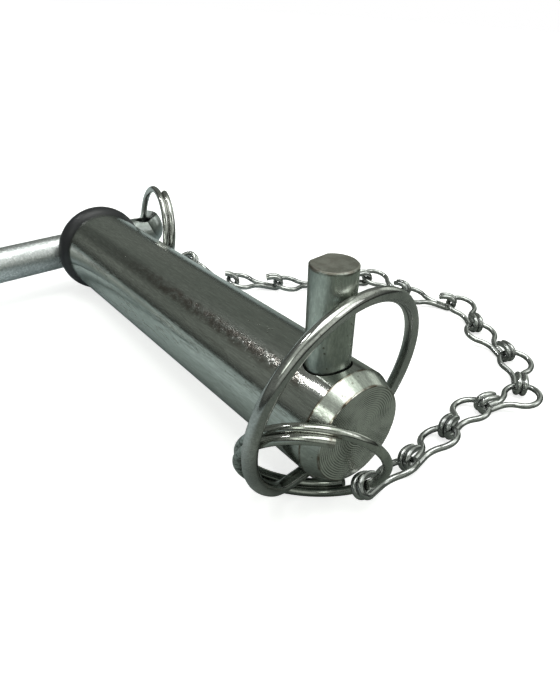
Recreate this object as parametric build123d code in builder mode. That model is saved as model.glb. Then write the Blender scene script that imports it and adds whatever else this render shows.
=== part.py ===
from build123d import *
import math
import os

# Hitch pin, in millimetres. The shaft lies along X with its nose at +X.
# The origin is on the shaft's axis at the shoulder, where the band sits; Z is up.

# ---------------------------------------------------------------- shaft and band
shaft_d = 25.4
reach = 120.4  # shoulder to nose
shaft_back = 9.0  # shoulder to the shaft's rear end
nose_face_r = 11.0
nose_len = 3.84
rear_edge = 1.5
band_w = 6.8
band_h = 1.7

# ---------------------------------------------------------------- handle bar
bar_d = 11.1
bar_x = -10.8
bar_z = -0.7
bar_clear = 0.05  # radial, bar in the seat across the shaft's rear end
tail_end = 25.0
tail_edge = 3.0
grip_straight = 35.0  # how far the grip runs straight out from the shaft's axis
grip_bend_r = 60.0
grip_droop = 9.0  # degrees
grip_end_len = 46.0
grip_edge = 1.5
eye_hole_d = 6.0
eye_hole_y = 20.5
eye_flare = 1.0  # depth of the 45 degree flare at each end of the eye hole
knob_y = 23.2
knob_z = 1.1
knob_r = 6.1
knob_half_len = 3.7

# ---------------------------------------------------------------- linch pin and its ring
stud_d = 9.5
stud_x = reach - 10.4
stud_top = 33.6
stud_flat = 3.8  # stud axis to its flat
stud_edge = 0.3
stud_clear = 0.4  # radial, stud in the shaft's cross hole
head_d = 14.0
head_top = -12.95
head_dome_z = -13.4  # where the head's rounded end starts
head_dome_h = 4.1
head_flat = 4.0  # half width across the head's side flats
hinge_z = -14.9
hinge_clear = 0.15  # radial, ring wire in the head's hole
hinge_gap = 2.4  # from the middle plane to each of the ring's two ends
loop_wire_d = 3.1
loop_r = 23.9
loop_height = 43.6  # hinge line to the top of the ring's centreline
loop_lean = 8.6  # degrees, towards the nose
loop_aside = 0.6  # the ring is bent a little off the linch pin's middle
linch_turn = 4.4  # degrees, how far the linch pin is turned about its own axis
loop_corner_r = 8.0

# ---------------------------------------------------------------- split rings
coil_wire_d = 2.1
coil_pitch = 2.15
front_coil_r = 15.03
front_coil_turns = 1.62
front_coil_start = 12.8  # degrees, from the wire's first end to the coil plane's X
front_coil_centre = (reach - 3.86, -8.95, -5.63)
front_coil_normal = (-0.654, 0.64, 0.403)
front_coil_towards = (reach, 2.4, -16.6)
rear_coil_r = 14.67
rear_coil_turns = 1.4
rear_coil_start = 110.0
rear_coil_centre = (2.16, 18.55, 3.47)
rear_coil_normal = (0.187, 0.97, -0.154)
rear_coil_towards = (bar_x, 20.4, bar_z + 2.0)

# ---------------------------------------------------------------- chain
link_wire_d = 1.6
link_pitch = 17.0
link_eye_r = 4.6  # eye's centreline
link_flare_r = 6.0
link_hook_r = 2.15  # hook's centreline
link_leg_y = 0.85  # leg's centreline to the link's middle plane
link_tip_r = 6.0  # the cut ends curve back down towards the legs
link_tip_turn = 34.0  # degrees
link_seat = 0.1  # a hook's centre sits this far outside the eye's centreline

# ---------------------------------------------------------------- resting plane
# The pin lies on the front split ring, the band and the grip's end.
ground_z = -20.6  # under the linch pin
ground_slope = 0.054  # rise per millimetre towards the shaft's rear
up = Vector(ground_slope, 0, 1).normalized()

# ---------------------------------------------------------------- chain route
# Links 1 to 12: heading in degrees from +X towards +Y, roll in degrees, and how high the
# next link's hook centre is above the resting plane.
front_hook_angle = 352.0  # where the first hook sits round the front split ring
front_seat_turn = -5.0  # how far the second hook sits round the first eye
front_links = [
    (98.3, -38, 3.7),
    (97.9, -27, 3.4),
    (99.1, -15, 3.1),
    (71.5, -5, 3.0),
    (126.8, 0, 3.0),
    (160.5, 0, 3.0),
    (147.0, 0, 3.0),
    (208.5, 0, 3.0),
    (185.4, 0, 3.0),
    (243.6, 0, 3.0),
    (242.5, 0, 3.0),
    (232.9, 0, 3.7),
]
# The thirteenth hook sits loosely round the twelfth eye: back along its own link, and aside.
loose_back = 1.24
loose_aside = 0.3
# Links 13 and 14: heading, pitch, roll, and the turn to the next hook.
rear_links = [
    (227.16, 32.51, 16.9, -33.04),
    (220.61, -17.03, 46.6, 0.0),
]


def height(point):
    """Height of a point above the resting plane, along its normal."""
    return (point - Vector(stud_x, 0, ground_z)).dot(up)


def link_plane(hook, heading, pitch, roll=0.0):
    """Plane with its origin at the hook's centre and X along the link, nose-up by pitch degrees."""
    along = Vector(1, 0, 0).rotate(Axis.Z, heading)
    along = (along - up * along.dot(up)).normalized()
    side = up.cross(along)
    along = along.rotate(Axis((0, 0, 0), side), -pitch)
    side = side.rotate(Axis((0, 0, 0), along), roll)
    return Plane(origin=hook, x_dir=along, z_dir=along.cross(side))


def next_hook(plane, turn):
    """Centre of the next link's hook, where it goes on turned by so many degrees."""
    seat_r = link_eye_r + link_seat
    turned = math.radians(turn)
    x = link_pitch - seat_r + seat_r * math.cos(turned)
    y = seat_r * math.sin(turned)
    return plane.from_local_coords(Vector(x, y, -link_hook_r))


def resting_link(hook, heading, turn, roll, ride):
    """Plane of a link whose far end comes down to the height where the next hook rides."""
    pitch = 0.0
    for _ in range(8):
        plane = link_plane(hook, heading, pitch, roll)
        pitch += math.degrees((ride - height(next_hook(plane, turn))) / link_pitch)
    return link_plane(hook, heading, pitch, roll)


def coil_plane(centre, normal, towards):
    """Plane of a split ring, with X towards a given point."""
    centre = Vector(centre)
    normal = Vector(normal).normalized()
    x_dir = Vector(towards) - centre
    x_dir = (x_dir - normal * x_dir.dot(normal)).normalized()
    return Plane(origin=centre, x_dir=x_dir, z_dir=normal)


def coil_point(plane, radius, turns, start, angle):
    """Point on a split ring's centreline, at an angle counted along its wire."""
    turned = math.radians(angle)
    sunk = coil_pitch * (start + 180 * turns - angle) / 360
    return plane.from_local_coords(Vector(radius * math.cos(turned), radius * math.sin(turned), sunk))


def save(part, node):
    """Label a finished part and write it as its node's file."""
    part.label = node
    export_step(part, f"parts/{node}.step")


def split_ring(node, plane, radius, turns, start):
    """Round wire wound in a flat helix from the angle start on, sinking along the plane's normal."""
    climb = coil_pitch * turns
    last_end = start + 360 * turns
    with BuildPart() as coil:
        with BuildLine() as route:
            Helix(coil_pitch, climb, radius, center=(0, 0, -climb / 2), lefthand=True)
        with BuildSketch(Plane(origin=route.line @ 0, z_dir=route.line % 0)):
            Circle(coil_wire_d / 2)
        sweep(is_frenet=True)
    with BuildPart() as ring:
        with Locations(plane.location * Rotation(0, 0, last_end)):
            add(coil.part)
    save(ring.part, node)


def link_route():
    """Corner points of one side of a link's wire, from its cut end to its eye."""
    eye_x = link_pitch - link_eye_r - link_seat
    both_r = link_flare_r + link_eye_r
    rise = link_leg_y + link_flare_r
    run = math.sqrt(both_r**2 - rise**2)
    flare_x = eye_x - run
    lean = math.atan2(rise, run)
    middle = -(lean + math.pi / 2) / 2
    bend = (flare_x + link_flare_r * math.cos(middle), rise + link_flare_r * math.sin(middle))
    touch = (eye_x - link_eye_r * math.cos(lean), link_eye_r * math.sin(lean))
    return eye_x, flare_x, bend, touch


def chain_link(node, plane):
    """One wire: a cut end, a hook, a leg, the eye, and back the same way on the other side."""
    eye_x, flare_x, bend, touch = link_route()
    low = -link_hook_r
    high = link_hook_r
    tip = math.radians(link_tip_turn)
    tip_x = link_tip_r * math.sin(tip)
    tip_z = high - link_tip_r * (1 - math.cos(tip))
    bow_x = link_tip_r * math.sin(tip / 2)
    bow_z = high - link_tip_r * (1 - math.cos(tip / 2))
    with BuildPart() as wire:
        with BuildLine() as route:
            for side in (1, -1):
                y = side * link_leg_y
                ThreePointArc((tip_x, y, tip_z), (bow_x, y, bow_z), (0, y, high))
                ThreePointArc((0, y, high), (-link_hook_r, y, 0), (0, y, low))
                Line((0, y, low), (flare_x, y, low))
                leg_end = (flare_x, y, low)
                flare_mid = (bend[0], side * bend[1], low)
                flare_end = (touch[0], side * touch[1], low)
                ThreePointArc(leg_end, flare_mid, flare_end)
            eye_start = (touch[0], touch[1], low)
            eye_end = (touch[0], -touch[1], low)
            ThreePointArc(eye_start, (eye_x + link_eye_r, 0, low), eye_end)
        cut_end = Plane(origin=(tip_x, link_leg_y, tip_z), z_dir=(math.cos(tip), 0, -math.sin(tip)))
        with BuildSketch(cut_end):
            Circle(link_wire_d / 2)
        sweep()
    with BuildPart() as link:
        with Locations(plane.location):
            add(wire.part)
    save(link.part, node)


os.makedirs("parts", exist_ok=True)

# ---------------------------------------------------------------- shaft
shaft_r = shaft_d / 2
with BuildPart() as shaft:
    with BuildSketch(Plane.XZ) as shaft_half:
        with BuildLine():
            Polyline(
                (-shaft_back, 0),
                (-shaft_back, shaft_r - rear_edge),
                (-shaft_back + rear_edge, shaft_r),
                (reach - nose_len, shaft_r),
                (reach, nose_face_r),
                (reach, 0),
                close=True,
            )
        make_face()
    revolve(axis=Axis.X)
    with Locations((stud_x, 0, 0)):
        Cylinder(stud_d / 2 + stud_clear, 2 * shaft_d, mode=Mode.SUBTRACT)
    with Locations((bar_x, 0, bar_z)):
        Cylinder(bar_d / 2 + bar_clear, 2 * shaft_d, rotation=(90, 0, 0), mode=Mode.SUBTRACT)
save(shaft.part, "shaft")

# ---------------------------------------------------------------- handle
eye_r = eye_hole_d / 2
eye_straight = bar_d / 2 - eye_flare
with BuildPart() as handle:
    with BuildLine(Plane.YZ.offset(bar_x)) as bar_route:
        Line((tail_end, bar_z), (-grip_straight, bar_z))
        droop = JernArc((-grip_straight, bar_z), (-1, 0), grip_bend_r, grip_droop)
        Line(droop @ 1, droop @ 1 + (droop % 1) * grip_end_len)
    with BuildSketch(Plane(origin=(bar_x, tail_end, bar_z), z_dir=(0, -1, 0))):
        Circle(bar_d / 2)
    sweep()
    tail_rim = handle.edges().sort_by(Axis.Y)[-1]
    fillet(tail_rim, tail_edge)
    grip_rim = handle.edges().sort_by(Axis.Y)[0]
    fillet(grip_rim, grip_edge)
    with BuildSketch(Plane(origin=(bar_x, knob_y, knob_z), x_dir=(0, 1, 0), z_dir=(1, 0, 0))):
        Ellipse(knob_half_len, knob_r)
        with Locations((0, -knob_r / 2)):
            Rectangle(2 * knob_half_len, knob_r, mode=Mode.SUBTRACT)
    revolve(axis=Axis((bar_x, knob_y, knob_z), (0, 1, 0)))
    with BuildSketch(Plane(origin=(bar_x, eye_hole_y, bar_z), x_dir=(1, 0, 0), z_dir=(0, -1, 0))):
        Polygon(
            (0, -bar_d),
            (eye_r + bar_d - eye_straight, -bar_d),
            (eye_r, -eye_straight),
            (eye_r, eye_straight),
            (eye_r + bar_d - eye_straight, bar_d),
            (0, bar_d),
            align=None,
        )
    revolve(axis=Axis((bar_x, eye_hole_y, 0), (0, 0, 1)), mode=Mode.SUBTRACT)
save(handle.part, "handle")

# ---------------------------------------------------------------- rubber band
with BuildPart() as rubber_ring:
    with BuildSketch(Plane.XZ):
        with BuildLine():
            ThreePointArc((0, shaft_r), (-band_w / 2, shaft_r + band_h), (-band_w, shaft_r))
            Line((-band_w, shaft_r), (0, shaft_r))
        make_face()
    revolve(axis=Axis.X)
    with Locations((bar_x, 0, bar_z)):
        Cylinder(bar_d / 2 + bar_clear, 2 * shaft_d, rotation=(90, 0, 0), mode=Mode.SUBTRACT)
save(rubber_ring.part, "rubber_ring")

# ---------------------------------------------------------------- linch pin
stud_r = stud_d / 2
head_r = head_d / 2
stud_seat = Location((stud_x, 0, 0), (0, 0, linch_turn))
with BuildPart() as stud:
    with BuildSketch(Plane.XZ):
        with BuildLine():
            Polyline(
                (0, head_dome_z - head_dome_h),
                (0, stud_top),
                (stud_r - stud_edge, stud_top),
                (stud_r, stud_top - stud_edge),
                (stud_r, head_top),
                (head_r, head_top),
                (head_r, head_dome_z),
            )
            EllipticalCenterArc((0, head_dome_z), head_r, head_dome_h, 270, arc_size=90)
        make_face()
    revolve(axis=Axis.Z)
    with Locations((-stud_flat - head_d / 2, 0, (stud_top + head_top) / 2)):
        Box(head_d, head_d, stud_top - head_top, mode=Mode.SUBTRACT)
    for side in (1, -1):
        with Locations((0, side * (head_flat + head_d / 2), head_top - head_d / 2)):
            Box(2 * head_d, head_d, head_d, mode=Mode.SUBTRACT)
    with Locations((0, 0, hinge_z)):
        Cylinder(loop_wire_d / 2 + hinge_clear, 2 * head_d, rotation=(90, 0, 0), mode=Mode.SUBTRACT)
with BuildPart() as linch_pin:
    with Locations(stud_seat):
        add(stud.part)
save(linch_pin.part, "linch_pin")

# ---------------------------------------------------------------- linch ring
lean = math.radians(loop_lean)
loop_plane = Plane(
    origin=(0, 0, hinge_z), x_dir=(0, 1, 0), z_dir=(math.cos(lean), 0, -math.sin(lean))
)
loop_mid = loop_height - loop_r
corner_y = math.sqrt((loop_r - loop_corner_r) ** 2 - (loop_mid - loop_corner_r) ** 2)
corner_turn = math.degrees(math.atan2(loop_corner_r - loop_mid, corner_y))
right_y = loop_aside + corner_y
left_y = loop_aside - corner_y
with BuildPart() as loop:
    with BuildLine(loop_plane) as loop_route:
        Line((hinge_gap, 0), (right_y, 0))
        CenterArc((right_y, loop_corner_r), loop_corner_r, -90, 90 + corner_turn)
        CenterArc((loop_aside, loop_mid), loop_r, corner_turn, 180 - 2 * corner_turn)
        CenterArc((left_y, loop_corner_r), loop_corner_r, 180 - corner_turn, 90 + corner_turn)
        Line((left_y, 0), (-hinge_gap, 0))
    with BuildSketch(Plane(origin=(0, hinge_gap, hinge_z), z_dir=(0, 1, 0))):
        Circle(loop_wire_d / 2)
    sweep()
with BuildPart() as linch_ring:
    with Locations(stud_seat):
        add(loop.part)
save(linch_ring.part, "linch_ring")

# ---------------------------------------------------------------- split rings
front_plane = coil_plane(front_coil_centre, front_coil_normal, front_coil_towards)
split_ring("front_split_ring", front_plane, front_coil_r, front_coil_turns, front_coil_start)
rear_plane = coil_plane(rear_coil_centre, rear_coil_normal, rear_coil_towards)
split_ring("rear_split_ring", rear_plane, rear_coil_r, rear_coil_turns, rear_coil_start)

# ---------------------------------------------------------------- chain
hook = coil_point(front_plane, front_coil_r, front_coil_turns, front_coil_start, front_hook_angle)
following = [heading for heading, _, _ in front_links[1:]] + [front_links[-1][0]]
for number, (heading, roll, ride) in enumerate(front_links, start=1):
    turn = following[number - 1] - heading
    if number == 1:
        turn += front_seat_turn
    plane = resting_link(hook, heading, turn, roll, ride)
    chain_link(f"chain_link_{number}", plane)
    hook = next_hook(plane, turn)
loose = link_plane(hook, *rear_links[0][:3])
hook = loose.from_local_coords(Vector(-loose_back, loose_aside, 0))
for number, (heading, pitch, roll, turn) in enumerate(rear_links, start=len(front_links) + 1):
    plane = link_plane(hook, heading, pitch, roll)
    chain_link(f"chain_link_{number}", plane)
    hook = next_hook(plane, turn)
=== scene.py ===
"""Looks of a hitch pin: zinc-plated shaft, bent handle, linch pin, split rings and chain.

Everything is in metres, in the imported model's frame: the origin is on the shaft's axis at the
shoulder, +X runs to the nose and +Z runs up along the linch pin. Every mesh is the CAD model's
own; this script adds the finishes, the floor, the room, the lamps and the camera.
"""

import logging
import math
from dataclasses import dataclass
from enum import Enum
from typing import Any, Callable

import bpy
import numpy as np
from mathutils import Matrix, Vector


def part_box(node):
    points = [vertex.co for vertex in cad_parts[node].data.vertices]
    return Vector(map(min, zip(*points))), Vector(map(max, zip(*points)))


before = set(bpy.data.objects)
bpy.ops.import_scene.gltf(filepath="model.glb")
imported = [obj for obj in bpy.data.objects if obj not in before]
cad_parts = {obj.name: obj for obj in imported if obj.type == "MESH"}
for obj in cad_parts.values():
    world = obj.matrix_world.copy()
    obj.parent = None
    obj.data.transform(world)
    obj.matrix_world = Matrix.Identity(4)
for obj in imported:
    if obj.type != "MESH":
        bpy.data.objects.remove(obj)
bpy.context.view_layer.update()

logging.basicConfig(level=logging.INFO, format="%(message)s")
log = logging.getLogger("hitch_pin")

MM = 0.001
Colour = tuple[float, float, float]
Point = tuple[float, float, float]
Socket = bpy.types.NodeSocket
Sockets = dict[str, Socket]
Parts = dict[str, Any]

WHITE: Colour = (1.0, 1.0, 1.0)
NOSE_CHAMFER = 3.84 * MM
NOSE_FACE_RADIUS = 11.0 * MM


# ---------------------------------------------------------------- node building
class Tree:
    """A node tree that is written as short calls, left to right."""

    def __init__(self, tree: bpy.types.NodeTree) -> None:
        """Keeps the tree and empties it.

        Args:
            tree: the node tree of a material, a world or a node group.
        """
        self.tree = tree
        self.column = 0
        tree.nodes.clear()

    def add(self, kind: str, settings: dict[str, Any] | None = None,
            **inputs: Any) -> bpy.types.Node:
        """Adds a node, sets its properties and fills its inputs.

        Args:
            kind: the node's type name.
            settings: properties of the node itself.
            inputs: values or output sockets, named as the input with spaces as underscores.

        Returns:
            The new node.
        """
        node = self.tree.nodes.new(kind)
        node.location = (self.column * 190, 0)
        self.column += 1
        for name, value in (settings or {}).items():
            setattr(node, name, value)
        for name, value in inputs.items():
            self.fill(node, name, value)
        return node

    def fill(self, node: bpy.types.Node, name: str, value: Any) -> None:
        """Sets or links one input.

        Args:
            node: the node that has the input.
            name: the input's name, with underscores for spaces, or in_ and its number.
            value: an output socket to link, or a plain value.
        """
        if name.startswith("in_"):
            socket = node.inputs[int(name[3:])]
        else:
            label = name.replace("_", " ")
            socket = next(s for s in node.inputs if s.name == label and s.enabled)
        if isinstance(value, Socket):
            self.tree.links.new(value, socket)
        elif socket.type == "RGBA":
            socket.default_value = (*value, 1.0) if len(value) == 3 else value
        else:
            socket.default_value = value

    def maths(self, operation: str, a: Any, b: Any = 0.0, clamp: bool = False) -> Socket:
        """One arithmetic step on two numbers or sockets.

        Args:
            operation: the Math node's operation.
            a: first number or socket.
            b: second number or socket.
            clamp: whether the result is kept between 0 and 1.

        Returns:
            The result's socket.
        """
        settings = {"operation": operation, "use_clamp": clamp}
        return self.add("ShaderNodeMath", settings, in_0=a, in_1=b).outputs[0]

    def ramp(self, value: Any, low: float, high: float, start: float = 0.0,
             end: float = 1.0) -> Socket:
        """Smooth step of a value from start at low to end at high.

        Args:
            value: the socket to read.
            low: where the step starts.
            high: where it ends.
            start: result below low.
            end: result above high.

        Returns:
            The result's socket.
        """
        node = self.add(
            "ShaderNodeMapRange",
            {"interpolation_type": "SMOOTHSTEP", "clamp": True},
            Value=value, From_Min=low, From_Max=high, To_Min=start, To_Max=end,
        )
        return node.outputs[0]

    def mix(self, mask: Any, a: Any, b: Any) -> Socket:
        """Mixes two colours.

        Args:
            mask: 0 gives the first colour, 1 the second.
            a: first colour or socket.
            b: second colour or socket.

        Returns:
            The mixed colour's socket.
        """
        node = self.add("ShaderNodeMix", {"data_type": "RGBA", "blend_type": "MIX"})
        self.fill(node, "in_0", mask)
        self.fill(node, "in_6", a)
        self.fill(node, "in_7", b)
        return node.outputs[2]

    def noise(self, vector: Any, scale: float, detail: float = 3.0,
              roughness: float = 0.55) -> Socket:
        """Noise value at a place.

        Args:
            vector: where to read it.
            scale: how many lumps to a unit.
            detail: octaves.
            roughness: how strong the fine octaves are.

        Returns:
            The noise's value socket.
        """
        node = self.add("ShaderNodeTexNoise", Vector=vector, Scale=scale, Detail=detail,
                        Roughness=roughness)
        return node.outputs[0]

    def stretch(self, vector: Any, by: Point) -> Socket:
        """Multiplies a place by three factors, which squeezes a pattern along each axis.

        Args:
            vector: the place.
            by: factor along each axis.

        Returns:
            The scaled place's socket.
        """
        return self.vector("MULTIPLY", 0, in_0=vector, in_1=by)

    def vector(self, operation: str, output: int | str, **inputs: Any) -> Socket:
        """One step of vector arithmetic.

        Args:
            operation: the Vector Math node's operation.
            output: number or name of the output wanted.
            inputs: the node's inputs, as for add.

        Returns:
            The result's socket.
        """
        return self.add("ShaderNodeVectorMath", {"operation": operation}, **inputs).outputs[output]

    def place(self, source: bpy.types.NodeTree, **inputs: Any) -> bpy.types.Node:
        """Places a node group with its values.

        Args:
            source: the group's tree.
            inputs: its inputs' values or sockets, as for add.

        Returns:
            The group's node.
        """
        return self.add("ShaderNodeGroup", {"node_tree": source}, **inputs)


def group(name: str, inputs: dict[str, tuple[str, Any]], outputs: dict[str, str],
          build: Callable[[Tree, Sockets], Sockets]) -> bpy.types.NodeTree:
    """Builds a shader node group once.

    Args:
        name: the group's name.
        inputs: socket type and default for each input.
        outputs: socket type for each output.
        build: makes the nodes, from the inputs' sockets to the outputs' sockets.

    Returns:
        The group's tree.
    """
    if name in bpy.data.node_groups:
        return bpy.data.node_groups[name]
    made = bpy.data.node_groups.new(name, "ShaderNodeTree")
    for label, (kind, default) in inputs.items():
        socket = made.interface.new_socket(name=label, in_out="INPUT", socket_type=kind)
        if kind != "NodeSocketVector":
            socket.default_value = default
    for label, kind in outputs.items():
        made.interface.new_socket(name=label, in_out="OUTPUT", socket_type=kind)
    tree = Tree(made)
    start = tree.add("NodeGroupInput")
    results = build(tree, {label: start.outputs[label] for label in inputs})
    end = tree.add("NodeGroupOutput")
    for label, socket in results.items():
        made.links.new(socket, end.inputs[label])
    return made


FLOAT = "NodeSocketFloat"
PLACE = "NodeSocketVector"


def specks_group() -> bpy.types.NodeTree:
    """Small dark pits: the near middle of scattered cells, kept where a coarse noise is high.

    Returns:
        The group's tree.
    """

    def build(tree: Tree, given: Sockets) -> Sockets:
        """Makes the nodes.

        Args:
            tree: the group's tree.
            given: its inputs' sockets.

        Returns:
            The sockets that feed its outputs.
        """
        bent = tree.noise(given["Place"], 900.0, 2.0)
        near = tree.add("ShaderNodeTexVoronoi", Vector=given["Place"], Scale=given["Scale"],
                        Randomness=1.0)
        size = tree.maths("MULTIPLY", given["Size"], tree.maths("ADD", 0.4, bent))
        pit = tree.maths("LESS_THAN", near.outputs["Distance"], size)
        where = tree.ramp(tree.noise(given["Place"], given["Patches"], 2.0), 0.45, 0.62)
        return {"Mask": tree.maths("MULTIPLY", pit, where)}

    inputs = {"Place": (PLACE, None), "Scale": (FLOAT, 700.0), "Size": (FLOAT, 0.16),
              "Patches": (FLOAT, 60.0)}
    return group("specks", inputs, {"Mask": FLOAT}, build)


def scuffs_group() -> bpy.types.NodeTree:
    """Thin scratches: noise squeezed along one axis and cut to its narrow crests, in patches.

    Returns:
        The group's tree.
    """

    def build(tree: Tree, given: Sockets) -> Sockets:
        """Makes the nodes.

        Args:
            tree: the group's tree.
            given: its inputs' sockets.

        Returns:
            The sockets that feed its outputs.
        """
        line = tree.noise(given["Place"], given["Scale"], 4.0, 0.6)
        crest = tree.maths("ABSOLUTE", tree.maths("SUBTRACT", line, 0.5))
        thin = tree.ramp(crest, 0.0, given["Width"], 1.0, 0.0)
        where = tree.ramp(tree.noise(given["Place"], given["Patches"], 2.0), 0.5, 0.66)
        return {"Mask": tree.maths("MULTIPLY", thin, where)}

    inputs = {"Place": (PLACE, None), "Scale": (FLOAT, 300.0), "Width": (FLOAT, 0.03),
              "Patches": (FLOAT, 40.0)}
    return group("scuffs", inputs, {"Mask": FLOAT}, build)


def plate_group() -> bpy.types.NodeTree:
    """Zinc plate's own variation: cloudy tone, fine crystal grain, and both as a bump height.

    Returns:
        The group's tree.
    """

    def build(tree: Tree, given: Sockets) -> Sockets:
        """Makes the nodes.

        Args:
            tree: the group's tree.
            given: its inputs' sockets.

        Returns:
            The sockets that feed its outputs.
        """
        cloud = tree.ramp(tree.noise(given["Place"], given["Cloud Scale"], 3.0), 0.3, 0.7)
        grain = tree.noise(given["Place"], given["Grain Scale"], 3.0, 0.7)
        lumps = tree.noise(given["Place"], given["Lump Scale"], 2.0)
        height = tree.maths("ADD", tree.maths("MULTIPLY", grain, 0.35), lumps)
        return {"Cloud": cloud, "Grain": grain, "Height": height}

    inputs = {"Place": (PLACE, None), "Cloud Scale": (FLOAT, 60.0), "Grain Scale": (FLOAT, 2500.0),
              "Lump Scale": (FLOAT, 250.0)}
    outputs = {"Cloud": FLOAT, "Grain": FLOAT, "Height": FLOAT}
    return group("zinc_plate", inputs, outputs, build)


def axis_group() -> bpy.types.NodeTree:
    """Place as turned on a lathe about X: radius from the axis, distance along it and turn.

    Returns:
        The group's tree.
    """

    def build(tree: Tree, given: Sockets) -> Sockets:
        """Makes the nodes.

        Args:
            tree: the group's tree.
            given: its inputs' sockets.

        Returns:
            The sockets that feed its outputs.
        """
        parts = tree.add("ShaderNodeSeparateXYZ", Vector=given["Place"])
        flat = tree.stretch(given["Place"], (0.0, 1.0, 1.0))
        radius = tree.vector("LENGTH", "Value", in_0=flat)
        turn = tree.maths("ARCTAN2", parts.outputs["Z"], parts.outputs["Y"])
        return {"Radius": radius, "Along": parts.outputs["X"], "Turn": turn}

    outputs = {"Radius": FLOAT, "Along": FLOAT, "Turn": FLOAT}
    return group("turned_axis", {"Place": (PLACE, None)}, outputs, build)


# ---------------------------------------------------------------- finishes
class Wear(Enum):
    """How far a plated wire has been handled."""

    FRESH = 0.25
    HANDLED = 0.6
    SCUFFED = 1.0


@dataclass(frozen=True)
class ZincFinish:
    """Zinc plate on steel, with grain, clouds, pits, scuffs and grime of its own scale."""

    name: str
    light: Colour
    dark: Colour
    grime: Colour = (0.10, 0.075, 0.055)
    roughness: float = 0.3
    roughness_spread: float = 0.15
    cloud_scale: float = 60.0
    grain_scale: float = 2500.0
    lump_scale: float = 250.0
    bump: float = 0.2
    bump_depth: float = 0.00004
    wear: Wear = Wear.HANDLED
    squeeze: Point = (1.0, 1.0, 1.0)
    extra: Callable[["ZincFinish", Tree, Parts], None] | None = None

    def material(self) -> bpy.types.Material:
        """Builds the material.

        Returns:
            The new material.
        """
        made = bpy.data.materials.new(self.name)
        made.use_nodes = True
        tree = Tree(made.node_tree)
        place = tree.add("ShaderNodeTexCoord").outputs["Object"]
        drawn = tree.stretch(place, self.squeeze)
        plate = tree.place(plate_group(), Place=drawn, Cloud_Scale=self.cloud_scale,
                           Grain_Scale=self.grain_scale, Lump_Scale=self.lump_scale)
        specks = tree.place(specks_group(), Place=place, Scale=620.0, Size=0.15, Patches=70.0)
        scuffs = tree.place(scuffs_group(), Place=drawn, Scale=260.0, Width=0.02, Patches=45.0)
        worn = tree.maths("MULTIPLY", scuffs.outputs["Mask"], self.wear.value)
        pitted = tree.maths("MULTIPLY", specks.outputs["Mask"], 0.75 * self.wear.value)
        colour = tree.mix(plate.outputs["Cloud"], self.dark, self.light)
        sparkle = tree.ramp(plate.outputs["Grain"], 0.35, 0.75, 0.82, 1.12)
        colour = tree.vector("SCALE", 0, in_0=colour, Scale=sparkle)
        colour = tree.mix(pitted, colour, self.grime)
        colour = tree.mix(tree.maths("MULTIPLY", worn, 0.5), colour, self.grime)
        spread = tree.maths("MULTIPLY", plate.outputs["Cloud"], self.roughness_spread)
        dullest = self.roughness + self.roughness_spread / 2
        rough = tree.maths("ADD", tree.maths("SUBTRACT", dullest, spread),
                           tree.maths("MULTIPLY", worn, 0.2), clamp=True)
        pits = tree.maths("MULTIPLY", pitted, 1.5)
        height = tree.maths("SUBTRACT", plate.outputs["Height"], pits)
        made_of = {"place": place, "colour": colour, "rough": rough, "height": height}
        if self.extra:
            self.extra(self, tree, made_of)
        bump = tree.add("ShaderNodeBump", Strength=self.bump, Distance=self.bump_depth,
                        Height=made_of["height"])
        shader = tree.add("ShaderNodeBsdfPrincipled", Base_Color=made_of["colour"],
                          Roughness=made_of["rough"], Metallic=1.0, Normal=bump.outputs[0])
        tree.add("ShaderNodeOutputMaterial", Surface=shader.outputs[0])
        return made


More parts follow.
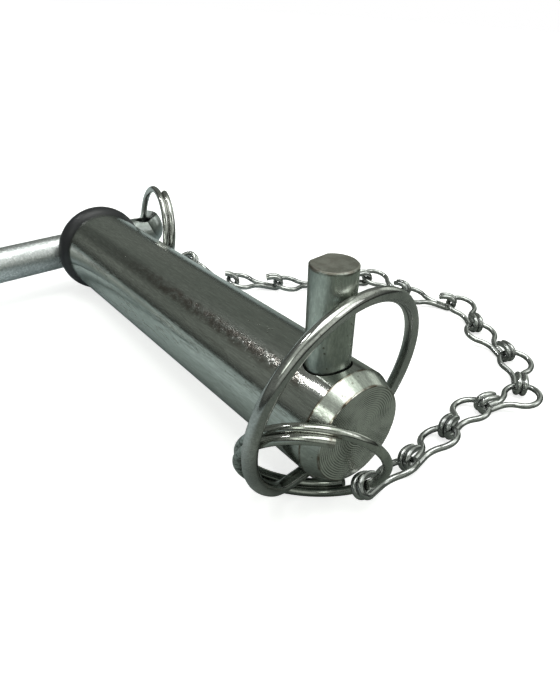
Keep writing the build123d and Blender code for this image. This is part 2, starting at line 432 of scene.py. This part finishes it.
def turned_shaft(finish: ZincFinish, tree: Tree, made_of: Parts) -> None:
    """Adds the lathe's marks: nose face grooves with painted shade and painted highlight, brown
    chamfer lines and a dark dented streak with painted glints.

    Args:
        finish: the finish that asks for it.
        tree: the material's tree.
        made_of: colour, roughness and height so far, which it changes.
    """
    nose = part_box("shaft")[1].x
    groove_pitch = 0.50 * MM
    groove_centre = (0.0, 1.5 * MM, 1.6 * MM)
    streak_turn = math.radians(125.0)
    axis = tree.place(axis_group(), Place=made_of["place"])
    along, radius, turn = (axis.outputs[k] for k in ("Along", "Radius", "Turn"))
    wobble = tree.noise(made_of["place"], 160.0, 2.0)
    on_face = tree.ramp(along, nose - 0.25 * MM, nose - 0.05 * MM)
    # Grooves: a sine of the radius about a point off the axis, sharpened and broken by noise;
    # painted shade darkens the grooves and a painted highlight lightens the ridges between them.
    off_axis = tree.vector("SUBTRACT", 0, in_0=made_of["place"], in_1=groove_centre)
    rings = tree.place(axis_group(), Place=off_axis).outputs["Radius"]
    phase = tree.maths("ADD", tree.maths("MULTIPLY", rings, 2 * math.pi / groove_pitch),
                       tree.maths("MULTIPLY", wobble, 2.2))
    wave = tree.maths("SINE", phase)
    groove = tree.maths("MULTIPLY", tree.ramp(wave, -0.7, 0.9), on_face)
    patchy = tree.ramp(tree.noise(made_of["place"], 130.0, 3.0), 0.32, 0.62, 0.25, 1.0)
    groove = tree.maths("MULTIPLY", groove, patchy)
    # Painted shade in the grooves, painted highlight on the ridges between them.
    groove_painted_shade = tree.maths("MULTIPLY", groove, 0.85)
    colour = tree.mix(groove_painted_shade, made_of["colour"], (0.09, 0.09, 0.08))
    land_painted_highlight = tree.maths("MULTIPLY", on_face, tree.maths("SUBTRACT", 1.0, groove))
    groove_shade_and_highlight = tree.mix(tree.maths("MULTIPLY", land_painted_highlight, 0.75), colour, (0.90, 0.90, 0.85))
    # Brown lines where the chamfer meets the side and the face.
    side_line = tree.maths("ABSOLUTE", tree.maths("SUBTRACT", along, nose - NOSE_CHAMFER))
    face_line = tree.maths("ABSOLUTE", tree.maths("SUBTRACT", radius, NOSE_FACE_RADIUS))
    near_nose = tree.ramp(along, nose - 4.6 * MM, nose - 4.0 * MM)
    rim = tree.maths("MULTIPLY", tree.ramp(face_line, 0.05 * MM, 0.38 * MM, 1.0, 0.0),
                     tree.ramp(along, nose - 0.6 * MM, nose - 0.2 * MM))
    line = tree.maths("MAXIMUM", tree.ramp(side_line, 0.08 * MM, 0.34 * MM, 1.0, 0.0), rim)
    broken = tree.ramp(tree.noise(made_of["place"], 420.0, 3.0), 0.34, 0.6, 0.15, 1.0)
    line = tree.maths("MULTIPLY", tree.maths("MULTIPLY", line, broken), near_nose)
    colour = tree.mix(tree.maths("MULTIPLY", line, 0.85), groove_shade_and_highlight, (0.13, 0.085, 0.05))
    # Dented streak along the side that lies upwards and away from the tail, with painted glints in
    # it.
    off = tree.maths("ABSOLUTE", tree.maths("SUBTRACT", turn, streak_turn))
    torn = tree.noise(tree.stretch(made_of["place"], (1.0, 3.0, 3.0)), 120.0, 4.0)
    ragged = tree.maths("MULTIPLY", torn, 0.16)
    band = tree.ramp(tree.maths("ADD", off, ragged), 0.12, 0.27, 1.0, 0.0)
    reach = tree.ramp(along, 20 * MM, 62 * MM, 0.0, 1.0)
    before = tree.ramp(along, nose - 12 * MM, nose - 6 * MM, 1.0, 0.0)
    band = tree.maths("MULTIPLY", tree.maths("MULTIPLY", band, reach), before)
    dents = tree.noise(tree.stretch(made_of["place"], (0.6, 1.0, 1.0)), 620.0, 4.0, 0.65)
    dark = tree.maths("MULTIPLY", tree.ramp(dents, 0.42, 0.6, 1.0, 0.3), band)
    colour = tree.mix(tree.maths("MULTIPLY", dark, 0.75), colour, (0.17, 0.135, 0.115))
    # Painted glints: white specks in the streak, stronger towards the nose where the lamp's
    # highlight falls.
    glint_noise = tree.noise(made_of["place"], 1100.0, 3.0, 0.6)
    painted_glint = tree.maths("MULTIPLY", tree.ramp(glint_noise, 0.60, 0.68), band)
    painted_glint = tree.maths("MULTIPLY", painted_glint, tree.ramp(along, 55 * MM, 95 * MM, 0.15, 1.0))
    made_of["colour"] = tree.mix(painted_glint, colour, WHITE)
    duller = tree.maths("MULTIPLY", band, 0.04)
    made_of["rough"] = tree.maths("ADD", made_of["rough"], duller, clamp=True)
    cut = tree.maths("MULTIPLY", groove, -4.0)
    dented = tree.maths("MULTIPLY", tree.maths("MULTIPLY", dents, band), 9.0)
    made_of["height"] = tree.maths("ADD", tree.maths("ADD", made_of["height"], cut), dented)


def handled_ring(finish: ZincFinish, tree: Tree, made_of: Parts) -> None:
    """Brown burnt edge at the wire's cut end, and a scraped, pitted stretch on the floor side.

    Args:
        finish: the finish that asks for it.
        tree: the material's tree.
        made_of: colour, roughness and height so far, which it changes.
    """
    lumps = tree.noise(made_of["place"], 900.0, 4.0, 0.65)
    spots = {"cut": ((124.6 * MM, -11.3 * MM, 7.0 * MM), 2.3 * MM),
             "rub": ((106.8 * MM, -20.0 * MM, -4.0 * MM), 9 * MM)}
    near = {}
    for name, (at, reach) in spots.items():
        gap = tree.vector("DISTANCE", "Value", in_0=made_of["place"], in_1=at)
        near[name] = tree.ramp(gap, reach * 0.55, reach, 1.0, 0.0)
    burnt = tree.maths("MULTIPLY", near["cut"], tree.ramp(lumps, 0.30, 0.55, 1.0, 0.35))
    scraped = tree.maths("MULTIPLY", near["rub"], tree.ramp(lumps, 0.40, 0.52, 1.0, 0.0))
    rubbed = tree.maths("MULTIPLY", near["rub"], 0.6)
    colour = tree.mix(rubbed, made_of["colour"], (0.40, 0.45, 0.44))
    colour = tree.mix(tree.maths("MULTIPLY", scraped, 0.8), colour, (0.07, 0.075, 0.07))
    made_of["colour"] = tree.mix(tree.maths("MULTIPLY", burnt, 0.9), colour, (0.10, 0.065, 0.035))
    rough = tree.maths("MAXIMUM", tree.maths("MULTIPLY", near["rub"], 0.35),
                       tree.maths("MULTIPLY", burnt, 0.6))
    made_of["rough"] = tree.maths("MAXIMUM", made_of["rough"], rough)
    dug = tree.maths("MULTIPLY", tree.maths("MAXIMUM", near["rub"], near["cut"]), lumps)
    made_of["height"] = tree.maths("ADD", made_of["height"], tree.maths("MULTIPLY", dug, 6.0))


def bright_grip(finish: ZincFinish, tree: Tree, made_of: Parts) -> None:
    """Keeps the grip bright and coarse, and the tail that carries the eye dull and grey-green.

    Args:
        finish: the finish that asks for it.
        tree: the material's tree.
        made_of: colour, roughness and height so far, which it changes.
    """
    side = tree.add("ShaderNodeSeparateXYZ", Vector=made_of["place"]).outputs["Y"]
    ragged = tree.maths("MULTIPLY", tree.noise(made_of["place"], 300.0, 3.0), 5 * MM)
    tail = tree.ramp(tree.maths("ADD", side, ragged), 8 * MM, 13 * MM)
    dull = tree.maths("MULTIPLY", tail, 0.8)
    colour = tree.mix(dull, made_of["colour"], (0.30, 0.33, 0.315))
    coarse = tree.noise(made_of["place"], 1500.0, 2.0, 0.6)
    grip = tree.maths("SUBTRACT", 1.0, tail)
    glint = tree.maths("MULTIPLY", tree.ramp(coarse, 0.5, 0.66), grip)
    made_of["colour"] = tree.mix(tree.maths("MULTIPLY", glint, 0.6), colour, (0.95, 0.96, 0.97))
    made_of["height"] = tree.maths("ADD", made_of["height"], tree.maths("MULTIPLY", coarse, 2.2))


def stud_grime_and_painted_shade(finish: ZincFinish, tree: Tree, made_of: Parts) -> None:
    """Darkens the linch pin's top rim, and paints shade on the stretch near the shaft.

    Args:
        finish: the finish that asks for it.
        tree: the material's tree.
        made_of: colour, roughness and height so far, which it changes.
    """
    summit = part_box("linch_pin")[1].z
    up = tree.add("ShaderNodeSeparateXYZ", Vector=made_of["place"]).outputs["Z"]
    rough_edge = tree.noise(made_of["place"], 500.0, 3.0)
    rim = tree.maths("ABSOLUTE", tree.maths("SUBTRACT", up, summit - 0.35 * MM))
    rim = tree.maths("MULTIPLY", tree.ramp(rim, 0.15 * MM, 0.5 * MM, 1.0, 0.0),
                     tree.ramp(rough_edge, 0.35, 0.6))
    # Painted shade: the stretch just above the shaft is darkened where the stud meets it.
    painted_foot_shade = tree.maths("MULTIPLY", tree.ramp(up, 12.5 * MM, 19 * MM, 1.0, 0.0), 0.55)
    colour = tree.mix(tree.maths("MULTIPLY", painted_foot_shade, tree.ramp(rough_edge, 0.2, 0.8)),
                      made_of["colour"], (0.17, 0.21, 0.22))
    top = tree.ramp(up, summit - 0.25 * MM, summit - 0.05 * MM)
    colour = tree.mix(tree.maths("MULTIPLY", top, 0.55), colour, (0.42, 0.39, 0.34))
    made_of["colour"] = tree.mix(tree.maths("MULTIPLY", rim, 0.75), colour, finish.grime)
    duller = tree.maths("MULTIPLY", top, 0.12)
    made_of["rough"] = tree.maths("ADD", made_of["rough"], duller, clamp=True)


@dataclass(frozen=True)
class RubberFinish:
    """Black moulded rubber with a faint bloom and a fine pebble."""

    name: str = "black_rubber"
    colour: Colour = (0.004, 0.004, 0.0045)
    bloom: Colour = (0.012, 0.012, 0.013)
    roughness: float = 0.46

    def material(self) -> bpy.types.Material:
        """Builds the material.

        Returns:
            The new material.
        """
        made = bpy.data.materials.new(self.name)
        made.use_nodes = True
        tree = Tree(made.node_tree)
        place = tree.add("ShaderNodeTexCoord").outputs["Object"]
        plate = tree.place(plate_group(), Place=place, Cloud_Scale=130.0, Grain_Scale=3200.0,
                           Lump_Scale=900.0)
        scuffs = tree.place(scuffs_group(), Place=place, Scale=500.0, Width=0.03, Patches=80.0)
        cloudy = tree.maths("MULTIPLY", plate.outputs["Cloud"], 0.35)
        mask = tree.maths("MAXIMUM", cloudy, scuffs.outputs["Mask"])
        colour = tree.mix(mask, self.colour, self.bloom)
        duller = tree.maths("MULTIPLY", plate.outputs["Cloud"], 0.2)
        rough = tree.maths("ADD", self.roughness, duller)
        bump = tree.add("ShaderNodeBump", Strength=0.25, Distance=0.00004,
                        Height=plate.outputs["Height"])
        shader = tree.add("ShaderNodeBsdfPrincipled", Base_Color=colour, Roughness=rough,
                          Specular_IOR_Level=0.06, Normal=bump.outputs[0])
        tree.add("ShaderNodeOutputMaterial", Surface=shader.outputs[0])
        return made


# ---------------------------------------------------------------- surfaces
def ring_surface(name: str, points: np.ndarray) -> bpy.types.Object:
    """Makes a smooth mesh from a grid of points, whole arrays at a time.

    Each face joins a point, the one in the next row, and both their neighbours in the next
    column. The last column joins the first, and the last row is an open edge.

    Args:
        name: the piece's name.
        points: array of rows, columns and three places, in metres.

    Returns:
        The new object, at the origin.
    """
    rows, columns = points.shape[:2]
    index = np.arange(rows * columns).reshape(rows, columns)
    next_row = np.roll(index, -1, axis=0)
    next_column = np.roll(index, -1, axis=1)
    both = np.roll(next_row, -1, axis=1)
    quads = np.stack([index, next_row, both, next_column], axis=-1)[:-1].reshape(-1, 4)
    mesh = bpy.data.meshes.new(name)
    mesh.from_pydata(points.reshape(-1, 3).tolist(), [], quads.tolist())
    mesh.polygons.foreach_set("use_smooth", np.ones(len(mesh.polygons), bool))
    mesh.update()
    piece = bpy.data.objects.new(name, mesh)
    bpy.context.scene.collection.objects.link(piece)
    return piece


# ---------------------------------------------------------------- sub-assemblies
SHAFT = ZincFinish(
    "zinc_turned_shaft", light=(0.60, 0.62, 0.585), dark=(0.44, 0.47, 0.435), roughness=0.17,
    roughness_spread=0.08, squeeze=(0.12, 1.0, 1.0), cloud_scale=130.0, grain_scale=2600.0,
    lump_scale=330.0,
    bump=0.35, extra=turned_shaft,
)
HANDLE = ZincFinish(
    "zinc_bright_handle", light=(0.86, 0.88, 0.89), dark=(0.62, 0.64, 0.65), roughness=0.32,
    roughness_spread=0.18, cloud_scale=90.0, grain_scale=1300.0, lump_scale=420.0, bump=0.6,
    bump_depth=0.00008, wear=Wear.HANDLED, extra=bright_grip,
)
STUD = ZincFinish(
    "zinc_linch_pin", light=(0.62, 0.66, 0.60), dark=(0.34, 0.37, 0.34), roughness=0.33,
    squeeze=(1.0, 1.0, 0.3), cloud_scale=160.0, bump=0.3, extra=stud_grime_and_painted_shade, wear=Wear.SCUFFED,
)
RING = ZincFinish(
    "zinc_ring_wire", light=(0.66, 0.66, 0.64), dark=(0.40, 0.41, 0.40), roughness=0.15,
    roughness_spread=0.12, cloud_scale=70.0, lump_scale=160.0, bump=0.15, wear=Wear.HANDLED,
)
SPLIT_RING = ZincFinish(
    "zinc_split_ring_wire", light=(0.64, 0.65, 0.61), dark=(0.38, 0.40, 0.37), roughness=0.14,
    roughness_spread=0.12, cloud_scale=70.0, lump_scale=160.0, bump=0.2, wear=Wear.SCUFFED,
    extra=handled_ring,
)
CHAIN = ZincFinish(
    "zinc_chain_wire", light=(0.62, 0.63, 0.62), dark=(0.40, 0.41, 0.41), roughness=0.18,
    roughness_spread=0.12, cloud_scale=110.0, lump_scale=220.0, bump=0.15, wear=Wear.FRESH,
)


@dataclass
class SubAssembly:
    """CAD nodes that keep their meshes and take finishes."""

    def finishes(self) -> dict[str, ZincFinish | RubberFinish]:
        """Says which finish each node takes.

        Returns:
            The finish for each node's name.
        """
        raise NotImplementedError

    def dress(self) -> None:
        """Gives each node its material, one material to a finish."""
        for node, finish in self.finishes().items():
            material = bpy.data.materials.get(finish.name) or finish.material()
            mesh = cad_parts[node].data
            mesh.materials.clear()
            mesh.materials.append(material)
            log.info("%s: %s in %s", type(self).__name__, node, finish.name)


@dataclass
class ShaftAssembly(SubAssembly):
    """Turned shaft, the handle across its rear end and the rubber band at its shoulder."""

    shaft: ZincFinish = SHAFT
    handle: ZincFinish = HANDLE
    band: RubberFinish = RubberFinish()

    def finishes(self) -> dict[str, ZincFinish | RubberFinish]:
        """Says which finish each node takes.

        Returns:
            The finish for each node's name.
        """
        return {"shaft": self.shaft, "handle": self.handle, "rubber_ring": self.band}


@dataclass
class LinchAssembly(SubAssembly):
    """Linch pin that stands in the nose and the wire ring hinged in its head."""

    stud: ZincFinish = STUD
    ring: ZincFinish = RING

    def finishes(self) -> dict[str, ZincFinish | RubberFinish]:
        """Says which finish each node takes.

        Returns:
            The finish for each node's name.
        """
        return {"linch_pin": self.stud, "linch_ring": self.ring}


@dataclass
class TetherAssembly(SubAssembly):
    """Chain of wire links between a split ring at the nose and one in the handle's tail."""

    front_ring: ZincFinish = SPLIT_RING
    rear_ring: ZincFinish = RING
    link: ZincFinish = CHAIN

    def finishes(self) -> dict[str, ZincFinish | RubberFinish]:
        """Says which finish each node takes, with every chain link in the same wire.

        Returns:
            The finish for each node's name.
        """
        rings = {"front_split_ring": self.front_ring, "rear_split_ring": self.rear_ring}
        links = [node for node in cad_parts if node.startswith("chain_link")]
        return rings | dict.fromkeys(links, self.link)


@dataclass(frozen=True)
class Panel:
    """Soft round part of the room, by its direction in degrees; a negative one is darker."""

    turn: float
    up: float
    reach: float
    soft: float
    strength: float


@dataclass(frozen=True)
class Lamp:
    """Soft square lamp: where it hangs, its side in metres and its power in watts."""

    name: str
    at: Point
    side: float
    watts: float


PANELS = (
    Panel(60.0, 80.0, 14.0, 20.0, 1.0),
    Panel(-72.0, 40.0, 4.0, 6.0, 2.4),
    Panel(-30.0, 24.0, 12.0, 18.0, 0.32),
    Panel(20.0, 30.0, 12.0, 16.0, 0.45),
    Panel(100.0, 12.0, 8.0, 8.0, 0.8),
    Panel(-163.0, 30.0, 7.0, 8.0, -0.10),
    Panel(90.0, 52.0, 14.0, 18.0, 0.45),
    Panel(-92.0, 62.0, 10.0, 16.0, 0.45),
)
LAMPS = (
    Lamp("key", (-0.42, -0.26, 0.80), 0.10, 0.75),
    Lamp("fill", (0.75, 0.55, 0.75), 0.5, 1.2),
    Lamp("top", (0.10, 0.05, 1.05), 0.7, 3.0),
)


@dataclass
class Studio:
    """Pale floor, soft lamps, a quiet room for the metal to mirror, and the camera."""

    floor_under_linch: float = -20.6 * MM
    floor_slope: float = 0.054
    linch_x: float = 110.0 * MM
    camera_at: Point = (174.56 * MM, -66.10 * MM, 73.08 * MM)
    camera_looks: Point = (-0.6492, 0.5394, -0.5363)
    camera_roll: float = math.radians(0.99)
    lens: float = 35.12
    floor_behind: Colour = (0.50, 0.56, 0.58)
    floor_ahead: Colour = (0.20, 0.22, 0.20)
    floor_centre_x: float = 0.05
    floor_glow: float = 0.72
    tint: Colour = (0.93, 1.0, 0.90)
    lamps_aim: Point = (0.06, 0.0, 0.0)

    def floor(self) -> None:
        """Pale disc in the plane that the pin rests on.

        Rings of points at three distances from its centre, each point lowered in proportion to
        its X. It glows to camera rays, and mirror rays see it in a tone that darkens ahead.
        """
        turn = np.linspace(0.0, 2 * math.pi, 96, endpoint=False)[None, :]
        out = np.array([0.0005, 0.4, 1.6])[:, None]
        x = self.floor_centre_x + out * np.cos(turn)
        y = out * np.sin(turn)
        z = self.floor_under_linch + self.floor_slope * (self.linch_x - x)
        points = np.stack([x, y, z], axis=-1)
        floor = ring_surface("floor", points)
        made = bpy.data.materials.new("pale_floor")
        made.use_nodes = True
        tree = Tree(made.node_tree)
        light = tree.add("ShaderNodeLightPath")
        mirrored = light.outputs["Is Glossy Ray"]
        seen = tree.maths("MAXIMUM", light.outputs["Is Camera Ray"],
                          light.outputs["Is Transmission Ray"])
        place = tree.add("ShaderNodeTexCoord").outputs["Object"]
        ahead = tree.vector("DOT_PRODUCT", "Value", in_0=place, in_1=(0.8, 0.6, 0.0))
        nearer = tree.ramp(ahead, 0.0, 0.11)
        tone = tree.mix(nearer, self.floor_behind, self.floor_ahead)
        paint = tree.mix(mirrored, (0.8, 0.8, 0.8), tone)
        glow = tree.maths("MULTIPLY", seen, self.floor_glow)
        shader = tree.add("ShaderNodeBsdfPrincipled", Base_Color=paint, Roughness=0.9,
                          Specular_IOR_Level=0.1, Emission_Color=WHITE, Emission_Strength=glow)
        tree.add("ShaderNodeOutputMaterial", Surface=shader.outputs[0])
        floor.data.materials.append(made)

    @staticmethod
    def patch(tree: Tree, way: Socket, panel: Panel) -> Socket:
        """Brightness of one soft round panel of the room, in a given direction.

        Args:
            tree: the world's tree.
            way: the direction's socket.
            panel: the panel.

        Returns:
            The brightness's socket.
        """
        turn = math.radians(panel.turn)
        up = math.radians(panel.up)
        centre = (math.cos(up) * math.cos(turn), math.cos(up) * math.sin(turn), math.sin(up))
        facing = tree.vector("DOT_PRODUCT", "Value", in_0=way, in_1=centre)
        rim = math.cos(math.radians(panel.reach + panel.soft))
        core = math.cos(math.radians(panel.reach))
        return tree.ramp(facing, rim, core, 0.0, panel.strength)

    def room(self) -> None:
        """World: white to the camera, and to the metal a dim room with soft panels."""
        world = bpy.data.worlds.new("room")
        world.use_nodes = True
        bpy.context.scene.world = world
        tree = Tree(world.node_tree)
        way = tree.add("ShaderNodeTexCoord").outputs["Generated"]
        height = tree.add("ShaderNodeSeparateXYZ", Vector=way).outputs["Z"]
        tone = tree.ramp(height, 0.02, 0.30, 0.035, 0.20)
        tone = tree.maths("SUBTRACT", tone, tree.ramp(height, 0.55, 0.9, 0.0, 0.05))
        for panel in PANELS:
            tone = tree.maths("ADD", tone, self.patch(tree, way, panel))
        colour = tree.vector("SCALE", 0, in_0=self.tint, Scale=tone)
        light = tree.add("ShaderNodeLightPath")
        room = tree.add("ShaderNodeBackground", Color=colour, Strength=1.0)
        white = tree.add("ShaderNodeBackground", Color=WHITE, Strength=1.0)
        both = tree.add("ShaderNodeMixShader", in_0=light.outputs["Is Camera Ray"],
                        in_1=room.outputs[0], in_2=white.outputs[0])
        tree.add("ShaderNodeOutputWorld", Surface=both.outputs[0])

    def lamps(self) -> None:
        """Hangs the key, fill and top lamps, all facing the pin."""
        for lamp in LAMPS:
            data = bpy.data.lights.new(lamp.name, "AREA")
            data.shape = "RECTANGLE"
            data.size = lamp.side
            data.size_y = lamp.side
            data.energy = lamp.watts
            hung = bpy.data.objects.new(lamp.name, data)
            hung.location = lamp.at
            facing = Vector(self.lamps_aim) - Vector(lamp.at)
            hung.rotation_euler = facing.to_track_quat("-Z", "Y").to_euler()
            bpy.context.scene.collection.objects.link(hung)
            log.info("lamp: %s", lamp.name)

    def camera(self) -> None:
        """Camera from where it stands, the way it looks and its small roll."""
        data = bpy.data.cameras.new("camera")
        data.sensor_fit = "HORIZONTAL"
        data.sensor_width = 36.0
        data.lens = self.lens
        data.clip_start = 0.005
        data.clip_end = 20.0
        ahead = Vector(self.camera_looks).normalized()
        level = ahead.cross(Vector((0.0, 0.0, 1.0))).normalized()
        above = level.cross(ahead)
        right = level * math.cos(self.camera_roll) + above * math.sin(self.camera_roll)
        turned = Matrix((right, right.cross(ahead), -ahead)).transposed().to_4x4()
        camera = bpy.data.objects.new("camera", data)
        camera.matrix_world = Matrix.Translation(self.camera_at) @ turned
        bpy.context.scene.collection.objects.link(camera)
        bpy.context.scene.camera = camera

    def build(self) -> None:
        """Makes the whole studio."""
        self.camera()
        self.floor()
        self.room()
        self.lamps()
        bpy.context.scene.view_settings.view_transform = "Standard"


def main() -> None:
    """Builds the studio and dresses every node."""
    Studio().build()
    for assembly in (ShaftAssembly(), LinchAssembly(), TetherAssembly()):
        assembly.dress()


if __name__ == "__main__":
    main()
